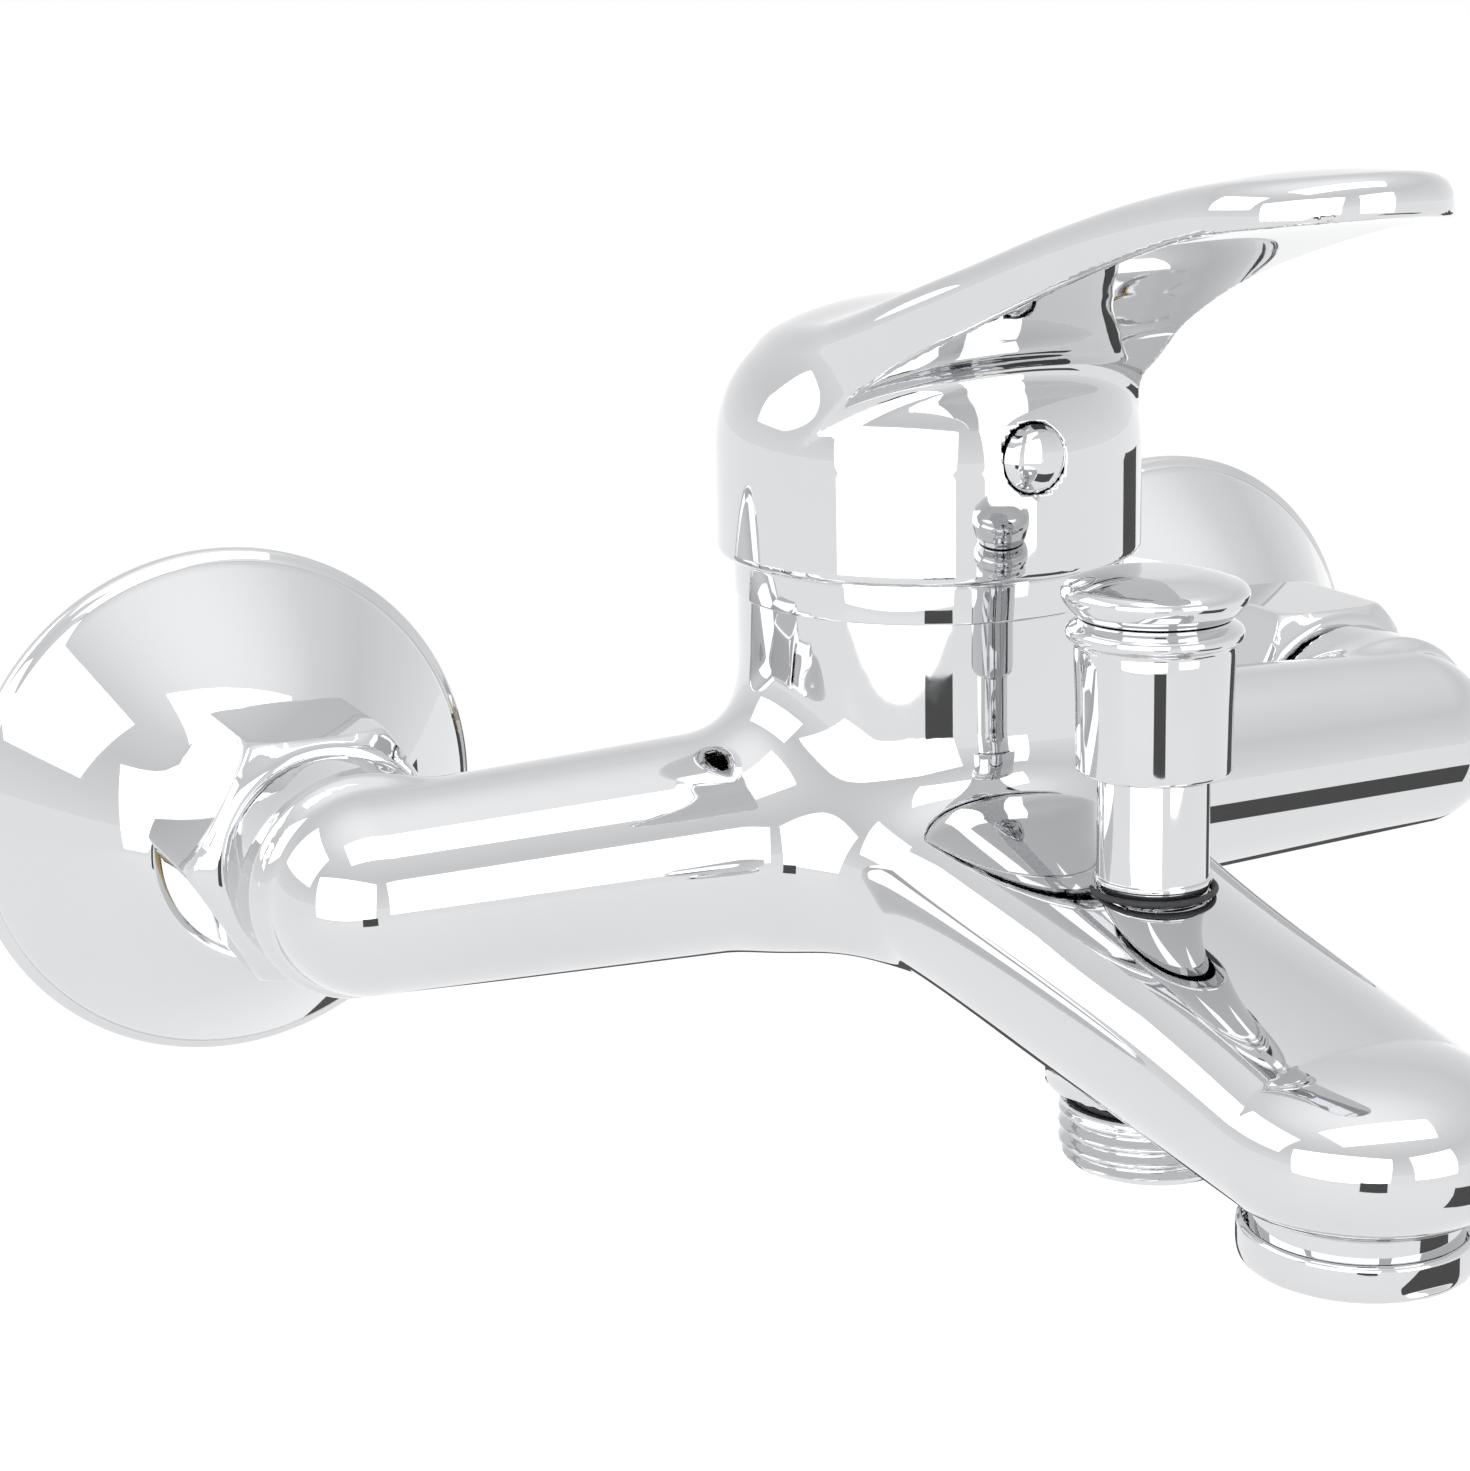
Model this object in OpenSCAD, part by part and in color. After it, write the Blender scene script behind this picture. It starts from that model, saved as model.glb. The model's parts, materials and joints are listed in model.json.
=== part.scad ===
// Wall mounted bath mixer: lever cartridge, pull-up diverter, shower outlet and bath spout.
// Origin on the finished wall, midway between the two supply threads.
// +X runs along the wall to the right, +Y into the wall, +Z up.

/* [Wall connection] */
// Distance between the two supply threads
inlet_spacing = 150; // [140:1:160]
// Distance from the wall to the axis of the inlet arms
body_out = 63; // [60:1:66]
// Height of the arm axis over the supply threads, set by the eccentric unions
rise = 4; // [2:0.5:5]
// Outside radius of a wall rosette
rosette_r = 34.8; // [32:0.2:36]
// Depth of a rosette from the wall to its mouth
rosette_depth = 24; // [20:1:25]
// Width of a union nut across its flats
nut_flats = 30; // [29:0.5:32]

/* [Body] */
// Radius of an inlet arm beside the tower
arm_root_r = 14.4; // [13.5:0.1:15]
// Radius of an inlet arm at its outer end
arm_end_r = 12.1; // [11.5:0.1:13]
// Outside radius of the tower that holds the cartridge
tower_r = 24.2; // [24:0.1:24.4]
// Height of the tower's top edge over the arm axis
tower_h = 30.7; // [30.7:0.1:31]
// Distance from the tower's axis to the diverter and the shower outlet
outlet_reach = 52; // [50:1:54]
// Distance from the tower's axis to the aerator
spout_reach = 90.5; // [88:0.5:94]
// Radius of the spout's rounded front end
spout_end_r = 16.5; // [15.5:0.5:17.5]
// Half the width of the spout at the diverter
spout_half_w = 17; // [16:0.5:18]

/* [Lever] */
// Outside radius of the lever's cap
cap_r = 26.6; // [26.4:0.1:27]
// Thickness of the cap's skirt
skirt_wall = 1.6; // [1.4:0.1:1.8]
// Height of the cap's bottom edge over the arm axis
cap_bottom = 34.3; // [34:0.1:35]
// Half the width of the paddle
paddle_half_w = 13.6; // [12:0.2:15]
// Distance from the tower's axis to the centre of the paddle's round tip
paddle_reach = 80.4; // [74:0.2:84]

/* [Diverter] */
// Lift of the diverter between bath and shower
diverter_lift = 5; // [4:0.1:5]
// Radius of the bonnet's post
post_r = 6.3; // [6:0.1:6.4]
// Outside radius of the knob's sleeve
knob_sleeve_r = 8.8; // [8.6:0.1:9.5]
// Radius of the knob's round head
knob_head_r = 10.5; // [10:0.1:11.5]

/* [Outlets] */
// Radius of the shower outlet's outside thread
outlet_thread_r = 10.48; // [10.3:0.01:10.6]
// Radius of the visible rim of the aerator
aerator_rim_r = 12.3; // [12:0.1:13]

/* [Hidden] */
$fn = 64;
hull_fn = 32;
eps = 0.01;
lots = 300;

// Chrome, brass, rubber and ceramic colours
chrome = [0.86, 0.87, 0.88];
brass = [0.78, 0.62, 0.34];
rubber = [0.08, 0.08, 0.09];
ceramic = [0.93, 0.92, 0.90];
acetal = [0.90, 0.90, 0.86];
steel = [0.66, 0.67, 0.69];

// Union stack, measured from the wall along the supply axis
supply_thread_r = 10.48;
supply_thread_l = 18;
union_thread_r = 13.2;
union_neck_r = 12;
union_neck_start = 4;
union_relief = 0.8;
union_relief_r = 9.2;
union_thread_start = 24.5;
union_face = 40;
union_bore_r = 6.5;
washer_t = 2;
tail_flange_t = 3;
tail_flange_r = 12.8;
tail_r = 10.4;
tail_depth = 9;
nut_lip_t = 3;
nut_start = 26;
fit = 0.05;
collar_r = 13.5;
collar_l = 13.5;
tail_face = union_face + washer_t;
nut_end = tail_face + tail_flange_t + nut_lip_t;

// Tower and cartridge, heights over the arm axis
chamber_floor = 9;
chamber_r = 20;
nut_seat = 25;
nut_thread_r = 21.5;
base_top = 12;
housing_r = 19.95;
neck_r = 17;
disc_room_r = 17.5;
disc_room_top = 23.8;
carrier_r = 14.15;
carrier_top = 31.5;
housing_top = 33;
pivot_z = 28.3;
ball_z = 21.9;
ball_r = 2.6;
neck_of_ball_r = 1.9;
stem_w = 8;
stem_top = 54;
port_x = 8;
port_y = 2.5;
port_r = 3.5;
mixed_y = -8;
mixed_r = 5;
hex_top = 36;
ring_top = 35.6;
ring_bore_r = 21.6;

// Lever, heights over the arm axis
cap_shoulder = 48;
cap_top = 66;
cavity_r = cap_r - skirt_wall;
button_z = 49;
button_r = 4.1;
boss_r = 9;
boss_bottom = 40;

// Spout and diverter, heights over the arm axis
channel_r = 6.5;
spout_top = 4.4;
spout_bottom = -18.7;
outlet_boss_bottom = -19.6;
spout_tip_bottom = -20.6;
// How far a boss stands out of the casting around it
boss = 0.3;
diverter_room_r = 8;
diverter_room_bottom = -10;
upper_seat = -1.2;
seat_bore_r = 5.4;
bonnet_thread_r = 6.6;
bonnet_flange_r = 7.3;
bonnet_seal_r = 7;
bonnet_seal_cord = 0.36;
bonnet_bottom = 0.3;
bonnet_top = 29;
spring_room_bottom = 7;
spring_room_top = 26;
spring_room_r = 4.4;
rod_r = 2;
rod_collar_z = 12;
valve_bottom = -8.8;
valve_t = 2;
valve_r = 7;
valve_seal_r = 6.8;
seal_t = 0.9;
upper_seal_t = 0.55;
knob_bottom = 17.6;
knob_ring_z = 33.2;
knob_top = 41;
// Metal of the knob over the end of the rod
knob_cover = 4;
nipple_bottom = -27.7;
nipple_top_r = 8.5;
outlet_seal_t = 0.8;
outlet_bore_r = 5.5;
crossing_z = 2.2;
crossing_drop = 16;
crossing_r = 2.4;
aerator_bottom = -24.8;
aerator_thread_r = 11;
aerator_top = -13;

module at_body() translate([0, -body_out, rise]) children();
module at_diverter() at_body() translate([0, -outlet_reach, 0]) children();
module at_aerator() at_body() translate([0, -spout_reach, 0]) children();
// Turns +Z to point out of the wall, at one of the two supply threads
module at_supply(side, z = 0)
    translate([side * inlet_spacing / 2, 0, z]) rotate([90, 0, 0]) children();

module tube(r_out, r_in, z0, z1)
    difference() {
        translate([0, 0, z0]) cylinder(r = r_out, h = z1 - z0);
        translate([0, 0, z0 - 1]) cylinder(r = r_in, h = z1 - z0 + 2);
    }

module rod(r, z0, z1) translate([0, 0, z0]) cylinder(r = r, h = z1 - z0);

module o_ring(r_mid, r_cord, z)
    translate([0, 0, z]) rotate_extrude() translate([r_mid, 0]) circle(r = r_cord, $fn = 24);

// ---- wall unions ----

module rosette(side) {
    rim_band = 2.4;
    wall = 1.3;
    mouth_r = 16;
    shoulder_r = rosette_r - 1;
    steps = 12;
    rise_of = function (t) rim_band + (rosette_depth - rim_band) * (1 - pow(1 - t, 1.25));
    radius_of = function (t) shoulder_r + (mouth_r - shoulder_r) * t;
    outer = [for (i = [0:steps]) [radius_of(i / steps), rise_of(i / steps)]];
    inner = [for (i = [steps:-1:0]) [radius_of(i / steps) - wall, rise_of(i / steps) - wall]];
    color(chrome) at_supply(side) rotate_extrude()
        polygon(concat([[rosette_r - wall, 0], [rosette_r, 0], [rosette_r, rim_band - 0.6]],
                       outer, [[mouth_r - wall, rosette_depth]], inner));
}

module eccentric_union(side) {
    color(brass) difference() {
        union() {
            at_supply(side) rod(supply_thread_r, -supply_thread_l, union_neck_start);
            at_supply(side) rod(union_relief_r, 0, union_neck_start + union_relief + 1);
            at_supply(side, rise / 2)
                rod(union_neck_r, union_neck_start + union_relief, union_thread_start + 1);
            at_supply(side, rise) rod(union_thread_r, union_thread_start, union_face);
        }
        at_supply(side) rod(union_bore_r, -supply_thread_l - 1, union_neck_start + 6);
        at_supply(side, rise) rod(union_bore_r, union_neck_start + 2, union_face + 1);
    }
}

module union_nut(side) {
    corner_r = nut_flats / 2 / cos(30);
    bevel = 2;
    color(chrome) at_supply(side, rise) difference() {
        intersection() {
            translate([0, 0, nut_start]) cylinder(r = corner_r, h = nut_end - nut_start, $fn = 6);
            rotate_extrude() polygon([
                [0, nut_start], [corner_r - bevel, nut_start], [corner_r, nut_start + bevel / 2],
                [corner_r, nut_end - bevel], [corner_r - bevel * 1.4, nut_end], [0, nut_end]
            ]);
        }
        rod(union_thread_r + fit, nut_start - 1, nut_end - nut_lip_t);
        rod(tail_r + 0.2, nut_start, nut_end + 1);
    }
}

module union_washer(side)
    color(rubber) at_supply(side, rise) tube(tail_flange_r, union_bore_r + 1, union_face, tail_face);

module inlet_filter(side) {
    mesh_t = 1;
    hole_pitch = 2.4;
    filter_r = 5.9;
    color(steel) at_supply(side, rise) difference() {
        rod(filter_r, tail_face + 1, tail_face + 1 + mesh_t);
        for (ix = [-1:1])
            for (iy = [-1:1])
                translate([ix * hole_pitch, iy * hole_pitch, 0])
                    rod(0.7, tail_face, tail_face + mesh_t + 3);
    }
}

module inlet_tail(side) {
    bore = 6;
    color(brass) at_supply(side, rise) difference() {
        union() {
            rod(tail_flange_r, tail_face, tail_face + tail_flange_t);
            rod(tail_r, tail_face + 1, body_out - collar_l + tail_depth);
        }
        rod(bore, tail_face - 1, body_out);
    }
}

// ---- mixer body ----

// Stacked discs from a narrow sole through a full waist to a narrow crown
module spout_station(y, half_w, z0, z1) {
    tall = z1 - z0;
    sole_share = 0.66;
    hip_share = 0.9;
    shoulder_share = 0.86;
    crown_share = 0.5;
    sole_t = 1;
    crown_t = 0.6;
    translate([0, y, 0]) {
        rod(half_w * sole_share, z0, z0 + sole_t, $fn = hull_fn);
        rod(half_w * hip_share, z0 + tall * 0.18, z0 + tall * 0.24, $fn = hull_fn);
        rod(half_w, z0 + tall * 0.4, z0 + tall * 0.56, $fn = hull_fn);
        rod(half_w * shoulder_share, z0 + tall * 0.78, z0 + tall * 0.84, $fn = hull_fn);
        rod(half_w * crown_share, z1 - crown_t, z1, $fn = hull_fn);
    }
}

module spout_solid() {
    root_y = -4;
    root_half_w = 21;
    root_bottom = -15;
    root_top = 11;
    tip_top = -1;
    hull() {
        spout_station(root_y, root_half_w, root_bottom, root_top);
        spout_station(-outlet_reach, spout_half_w, spout_bottom + boss, spout_top - boss);
    }
    hull() {
        spout_station(-outlet_reach, spout_half_w, spout_bottom + boss, spout_top - boss);
        spout_station(-spout_reach, spout_end_r, spout_tip_bottom + boss, tip_top);
    }
}

module arm(side) {
    arm_x = inlet_spacing / 2;
    root_x = 20;
    steps = 8;
    last_angle = 84;
    collar_start = 2;
    collar_draft = 1.2;
    round_end = [for (i = [0:steps]) let (t = last_angle * i / steps)
        [arm_end_r * cos(t), arm_x + arm_end_r * sin(t)]];
    tip = [[0, arm_x + arm_end_r * sin(last_angle)]];
    rotate([0, side * 90, 0]) rotate_extrude()
        polygon(concat([[0, 0], [arm_root_r, 0], [arm_root_r, root_x]], round_end, tip));
    translate([side * arm_x, 0, 0]) rotate([-90, 0, 0])
        translate([0, 0, collar_start])
            cylinder(r1 = collar_r - collar_draft, r2 = collar_r, h = collar_l - collar_start);
}

// Turned outline: a round foot, a belly at the arms and straight walls above
module tower() {
    foot = [14, -13.6];
    foot_curve = [21, -9];
    belly = [25, 0];
    belly_top = [25.2, 9];
    waist = [tower_r + 0.2, 15];
    straight_z = 20;
    rotate_extrude() polygon([
        [0, foot.y], foot, foot_curve, belly, belly_top, waist,
        [tower_r, straight_z], [tower_r, tower_h], [0, tower_h]
    ]);
}

module arm_channel(side) {
    arm_x = inlet_spacing / 2;
    inner_end = port_x - 1.5;
    elbow_depth = 1.2;
    port_foot = -1.5;
    translate([side * inner_end, 0, 0])
        rotate([0, side * 90, 0]) cylinder(r = channel_r, h = arm_x - inner_end);
    translate([side * arm_x, 0, 0]) rotate([-90, 0, 0]) {
        rod(channel_r, -elbow_depth, collar_l);
        rod(tail_r, collar_l - tail_depth, collar_l + 1);
    }
    translate([side * port_x, port_y, 0]) rod(port_r, port_foot, chamber_floor + 1);
}

// Channel from the cartridge to the diverter, and on from the diverter to the aerator
module spout_channel() {
    channel_z = -5.5;
    feed_r = 4;
    translate([0, mixed_y, 0]) rod(mixed_r, channel_z, chamber_floor + 1);
    translate([0, mixed_y, channel_z])
        rotate([90, 0, 0]) cylinder(r = feed_r, h = outlet_reach + mixed_y);
    translate([0, -outlet_reach, crossing_z])
        rotate([90 + crossing_drop, 0, 0]) cylinder(r = crossing_r, h = spout_reach - outlet_reach);
}

module mixer_body() {
    boss_wall = 1.5;
    calm_room_r = 8;
    seal_pocket_r = bonnet_seal_r + bonnet_seal_cord + 0.02;
    seal_pocket_floor = spout_top - 2 * bonnet_seal_cord - 0.06;
    color(chrome) at_body() difference() {
        union() {
            tower();
            for (side = [-1, 1]) arm(side);
            spout_solid();
            translate([0, -outlet_reach, 0]) rod(bonnet_thread_r + 2, -4, spout_top);
            translate([0, -outlet_reach, 0])
                rod(outlet_thread_r + boss_wall, outlet_boss_bottom, -8);
            translate([0, -spout_reach, 0]) rod(aerator_rim_r + 1, spout_tip_bottom, -10);
        }
        for (side = [-1, 1]) arm_channel(side);
        rod(chamber_r, chamber_floor, nut_seat + 1);
        rod(nut_thread_r, nut_seat, tower_h + 1);
        spout_channel();
        translate([0, -outlet_reach, 0]) {
            rod(bonnet_thread_r, bonnet_bottom, spout_top + 5);
            rod(seal_pocket_r, seal_pocket_floor, spout_top + 5);
            rod(seat_bore_r, upper_seat - 1, bonnet_bottom + 1);
            rod(diverter_room_r, diverter_room_bottom, upper_seat);
            rod(nipple_top_r, outlet_boss_bottom - 1, diverter_room_bottom + eps);
        }
        translate([0, -spout_reach, 0]) rod(aerator_thread_r + fit, spout_tip_bottom - 1, aerator_top);
        translate([0, -spout_reach, 0]) rod(calm_room_r, aerator_top - 1, -7);
    }
}

// ---- cartridge ----

module ports(r_in, r_mix, z0, z1) {
    for (side = [-1, 1]) translate([side * port_x, port_y, 0]) rod(r_in, z0, z1);
    translate([0, mixed_y, 0]) rod(r_mix, z0, z1);
}

seal_w = 1.2;
seal_h = 1.2;

module base_seals()
    color(rubber) at_body() difference() {
        ports(port_r + seal_w, mixed_r + seal_w, chamber_floor, chamber_floor + seal_h);
        ports(port_r, mixed_r, chamber_floor - 1, chamber_floor + seal_h + 1);
    }

module cartridge_base()
    color(acetal) at_body() difference() {
        rod(housing_r, chamber_floor + 0.2, base_top);
        ports(port_r + seal_w, mixed_r + seal_w, chamber_floor, chamber_floor + seal_h);
        ports(port_r, mixed_r, chamber_floor, base_top + 1);
    }

o_ring_z = 15;
o_ring_cord = 0.7;
o_ring_seat_r = housing_r - 2 * o_ring_cord;

module cartridge_housing()
    color(acetal) at_body() difference() {
        union() {
            rod(housing_r, base_top, nut_seat);
            rod(neck_r, nut_seat - 1, housing_top);
        }
        rod(disc_room_r, base_top - 1, disc_room_top);
        rod(carrier_r + fit, disc_room_top - 1, carrier_top + 0.1);
        rod(12.6, carrier_top - 1, housing_top + 1);
        tube(housing_r + 1, o_ring_seat_r, o_ring_z - o_ring_cord, o_ring_z + o_ring_cord);
    }

module cartridge_o_ring()
    color(rubber) at_body() o_ring(o_ring_seat_r + o_ring_cord, o_ring_cord - eps, o_ring_z);

module fixed_ceramic_disc()
    color(ceramic) at_body() difference() {
        rod(disc_room_r - 0.1, base_top, base_top + 4);
        ports(port_r - 0.5, mixed_r - 0.5, base_top - 1, base_top + 5);
    }

disc_gap = 0.05;
moving_z = base_top + 4 + disc_gap;
moving_top = 18.9;

module moving_ceramic_disc()
    color(ceramic) at_body() difference() {
        rod(14.4, moving_z, moving_top);
        translate([0, -2, 0]) rod(8.5, moving_z - 1, moving_z + 1.8);
    }

module disc_carrier()
    color(acetal) at_body() difference() {
        rod(14.2, moving_top, disc_room_top - 0.3);
        rod(ball_r + 0.35, moving_top - 1, disc_room_top);
    }

module spindle_carrier()
    color(acetal) at_body() difference() {
        rod(carrier_r, disc_room_top + 0.1, carrier_top);
        translate([-stem_w / 2 - 0.3, -5.6, 0])
            cube([stem_w + 0.6, 14, lots]);
        translate([-lots / 2, 0, pivot_z]) rotate([0, 90, 0]) cylinder(r = 1.8, h = lots);
    }

module pivot_pin() {
    pin_l = 25;
    color(steel) at_body() translate([-pin_l / 2, 0, pivot_z])
        rotate([0, 90, 0]) cylinder(r = 1.8, h = pin_l);
}

module lever_spindle()
    color(brass) at_body() difference() {
        union() {
            translate([0, 0, ball_z]) sphere(r = ball_r);
            rod(neck_of_ball_r, ball_z, pivot_z);
            intersection() {
                translate([-stem_w / 2, -stem_w / 2, 25.5]) cube([stem_w, stem_w, stem_top - 25.5]);
                rod(5.2, 20, stem_top);
            }
        }
        translate([-lots / 2, 0, pivot_z]) rotate([0, 90, 0]) cylinder(r = 1.8 + fit, h = lots);
    }

module retaining_nut()
    color(brass) at_body() difference() {
        union() {
            rod(nut_thread_r - fit, nut_seat, tower_h);
            translate([0, 0, tower_h - 1]) cylinder(r = 21.3, h = hex_top - tower_h + 1, $fn = 6);
        }
        rod(neck_r + 0.1, nut_seat - 1, hex_top + 1);
    }

module trim_ring()
    color(chrome) at_body() rotate_extrude() polygon([
        [ring_bore_r, tower_h], [tower_r, tower_h], [tower_r, ring_top - 1.2],
        [tower_r - 1.2, ring_top], [ring_bore_r, ring_top]
    ]);

// ---- lever ----

module paddle_station(y, r, z0, z1, tilt)
    translate([0, -y, z0]) rotate([tilt, 0, 0]) cylinder(r = r, h = z1 - z0, $fn = hull_fn);

module lever_outside() {
    edge_bevel = 1;
    dome_steps = 14;
    dome_h = cap_top - cap_shoulder;
    dome = [for (i = [0:dome_steps]) let (t = 90 * i / dome_steps)
        [cap_r * pow(cos(t), 0.9), cap_shoulder + dome_h * pow(sin(t), 0.9)]];
    rotate_extrude() polygon(concat(
        [[0, cap_bottom], [cap_r - edge_bevel, cap_bottom], [cap_r, cap_bottom + 2.4]], dome));
    hull() {
        paddle_station(10, 21, 56, 64, -12);
        paddle_station(40, paddle_half_w, 68, 74.6, -16);
    }
    hull() {
        paddle_station(40, paddle_half_w, 68, 74.6, -16);
        paddle_station(paddle_reach, paddle_half_w, 80.4, 85.4, -10);
    }
}

module lever_handle()
    color(chrome) at_body() difference() {
        lever_outside();
        difference() {
            rotate_extrude() polygon([
                [0, cap_bottom - 1], [cavity_r, cap_bottom - 1], [cavity_r, 45], [21, 54], [12, 59], [0, 59]
            ]);
            rod(boss_r, boss_bottom, 60);
        }
        translate([-stem_w / 2 - fit / 2, -stem_w / 2 - fit / 2, boss_bottom - 1])
            cube([stem_w + fit, stem_w + fit, stem_top - boss_bottom + 1.2]);
        translate([0, 0, button_z]) rotate([90, 0, 0]) rod(2.5, 0, 20);
        translate([0, 0, button_z]) rotate([90, 0, 0]) rod(button_r, 20, 30);
    }

module grub_screw()
    color(steel) at_body() translate([0, 0, button_z]) rotate([90, 0, 0]) difference() {
        rod(2.45, stem_w / 2 + 0.1, boss_r);
        translate([0, 0, boss_r - 2.4]) cylinder(r = 1.4, h = 3, $fn = 6);
    }

module index_button() {
    stem_r = 2.6;
    color(chrome) at_body() translate([0, 0, button_z]) rotate([90, 0, 0]) {
        rod(button_r, cavity_r - 0.9, cap_r - 0.2);
        translate([0, 0, cap_r - 0.3]) intersection() {
            scale([1, 1, 0.35]) sphere(r = button_r - 0.1);
            rod(button_r, 0, 4);
        }
        rod(stem_r, cavity_r - 3, cavity_r);
    }
}

// ---- diverter ----

module diverter_bonnet() {
    flange_t = 0.8;
    valve_room_r = 4.9;
    color(chrome) at_diverter() difference() {
        union() {
            rod(bonnet_thread_r, bonnet_bottom, spout_top);
            rod(bonnet_flange_r, spout_top, spout_top + flange_t);
            rod(post_r, spout_top, bonnet_top);
        }
        rod(valve_room_r, bonnet_bottom - 1, spout_top - 0.4);
        rod(rod_r + fit, 0, bonnet_top + 1);
        rod(rod_r + 1.3, spring_room_bottom - 2, spring_room_bottom + 1);
        rod(spring_room_r, spring_room_bottom, spring_room_top);
        translate([0, 0, crossing_z]) rotate([90 + crossing_drop, 0, 0]) rod(crossing_r, 3, 12);
    }
}

module bonnet_o_ring()
    color(rubber) at_diverter() o_ring(bonnet_seal_r, bonnet_seal_cord, spout_top - bonnet_seal_cord - 0.02);

module rod_o_ring()
    color(rubber) at_diverter() o_ring(rod_r + 0.72, 0.56, spring_room_bottom - 1.3);

module diverter_rod() {
    collar_r = 3.6;
    collar_t = 1.5;
    tail = 1.5;
    color(brass) at_diverter() {
        rod(rod_r, valve_bottom - tail, knob_top - knob_cover);
        rod(collar_r, rod_collar_z - collar_t, rod_collar_z);
    }
}

module diverter_spring() {
    wire_r = 0.4;
    coil_r = 3.3;
    turns = 6;
    steps = 20;
    sides = 8;
    z0 = rod_collar_z + wire_r;
    z1 = spring_room_top - wire_r;
    n = turns * steps;
    ring = function (i) [for (k = [0:sides - 1])
        let (a = 360 * i / steps, b = 360 * k / sides, r = coil_r + wire_r * cos(b))
        [r * cos(a), r * sin(a), z0 + (z1 - z0) * i / n + wire_r * sin(b)]];
    points = [for (i = [0:n]) each ring(i)];
    sides_faces = [for (i = [0:n - 1], k = [0:sides - 1])
        let (k2 = (k + 1) % sides)
        [i * sides + k, i * sides + k2, (i + 1) * sides + k2, (i + 1) * sides + k]];
    ends = [[for (k = [sides - 1:-1:0]) k], [for (k = [0:sides - 1]) n * sides + k]];
    color(steel) at_diverter() polyhedron(points = points, faces = concat(sides_faces, ends));
}

module valve_disc()
    color(brass) at_diverter() tube(valve_r, rod_r, valve_bottom, valve_bottom + valve_t);

module valve_seals()
    color(rubber) at_diverter() {
        tube(valve_seal_r, rod_r + 0.1, valve_bottom - seal_t, valve_bottom);
        tube(valve_seal_r, rod_r + 0.1, valve_bottom + valve_t, valve_bottom + valve_t + upper_seal_t);
    }

module knob_sleeve()
    color(chrome) at_diverter() difference() {
        rotate_extrude() polygon([
            [0, knob_bottom], [knob_sleeve_r - 0.5, knob_bottom], [knob_sleeve_r, knob_bottom + 0.5],
            [knob_sleeve_r, knob_ring_z - 1.6], [knob_head_r - 0.9, knob_ring_z - 0.9],
            [knob_head_r - 0.5, knob_ring_z], [knob_head_r - 0.9, knob_ring_z + 0.9],
            [knob_head_r - 2, knob_ring_z + 1.6], [0, knob_ring_z + 1.6]
        ]);
        rod(post_r + 0.5, knob_bottom - 1, bonnet_top + 1.2);
        rod(rod_r, bonnet_top, knob_top);
    }

module knob_cap()
    color(chrome) at_diverter() difference() {
        rotate_extrude() polygon([
            [0, knob_ring_z + 1.6], [knob_head_r - 2, knob_ring_z + 1.6],
            [knob_head_r - 2, knob_ring_z + 2.6],
            [knob_head_r - 0.4, knob_top - 4.4], [knob_head_r, knob_top - 3.4],
            [knob_head_r - 0.4, knob_top - 2.4], [knob_head_r - 1.4, knob_top - 1.6], [5, knob_top - 0.6],
            [0, knob_top - 0.4]
        ]);
        rod(rod_r, knob_ring_z, knob_top - knob_cover);
    }

// ---- outlets ----

module shower_nipple()
    color(chrome) at_diverter() difference() {
        union() {
            rod(nipple_top_r, outlet_boss_bottom - 1, diverter_room_bottom);
            rod(outlet_thread_r, nipple_bottom, outlet_boss_bottom - outlet_seal_t);
        }
        rod(outlet_bore_r, nipple_bottom - 1, diverter_room_bottom + 1);
    }

module outlet_o_ring()
    color(rubber) at_diverter()
        o_ring(nipple_top_r + 0.7, outlet_seal_t / 2, outlet_boss_bottom - outlet_seal_t / 2);

module aerator_housing() {
    flat_depth = 0.5;
    color(chrome) at_aerator() difference() {
        union() {
            rod(aerator_thread_r, spout_tip_bottom - 1, aerator_top - 2);
            rotate_extrude() polygon([
                [0, aerator_bottom], [aerator_rim_r - 0.6, aerator_bottom],
                [aerator_rim_r, aerator_bottom + 0.6],
                [aerator_rim_r, spout_tip_bottom - 0.5], [aerator_rim_r - 0.4, spout_tip_bottom],
                [0, spout_tip_bottom]
            ]);
        }
        rod(9.6, aerator_bottom - 1, aerator_top);
        for (side = [-1, 1])
            translate([-lots / 2, side * (aerator_rim_r - flat_depth + 5) - 5, aerator_bottom - 1])
                cube([lots, 10, 3.4]);
    }
}

module aerator_washer()
    color(rubber) at_aerator() tube(10.9, 8.4, aerator_top - 2, aerator_top);

module aerator_insert() {
    slots = 12;
    color(acetal) at_aerator() difference() {
        union() {
            rod(9.55, aerator_bottom + 1.2, aerator_bottom + 3);
            tube(9.55, 8.2, aerator_bottom + 3, aerator_top - 4);
        }
        for (i = [0:slots - 1])
            rotate([0, 0, 360 * i / slots]) translate([2.6, -0.55, aerator_bottom]) cube([5.6, 1.1, 4]);
    }
}

module aerator_screens() {
    holes = 8;
    color(steel) at_aerator() difference() {
        for (z = [aerator_bottom + 4.4, aerator_bottom + 6]) rod(8.1, z, z + 0.5);
        for (ring = [1:3])
            for (i = [0:holes - 1])
                rotate([0, 0, 360 * i / holes + ring * 15])
                    translate([ring * 2.1, 0, 0]) rod(0.55, aerator_bottom, aerator_top);
    }
}

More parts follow.
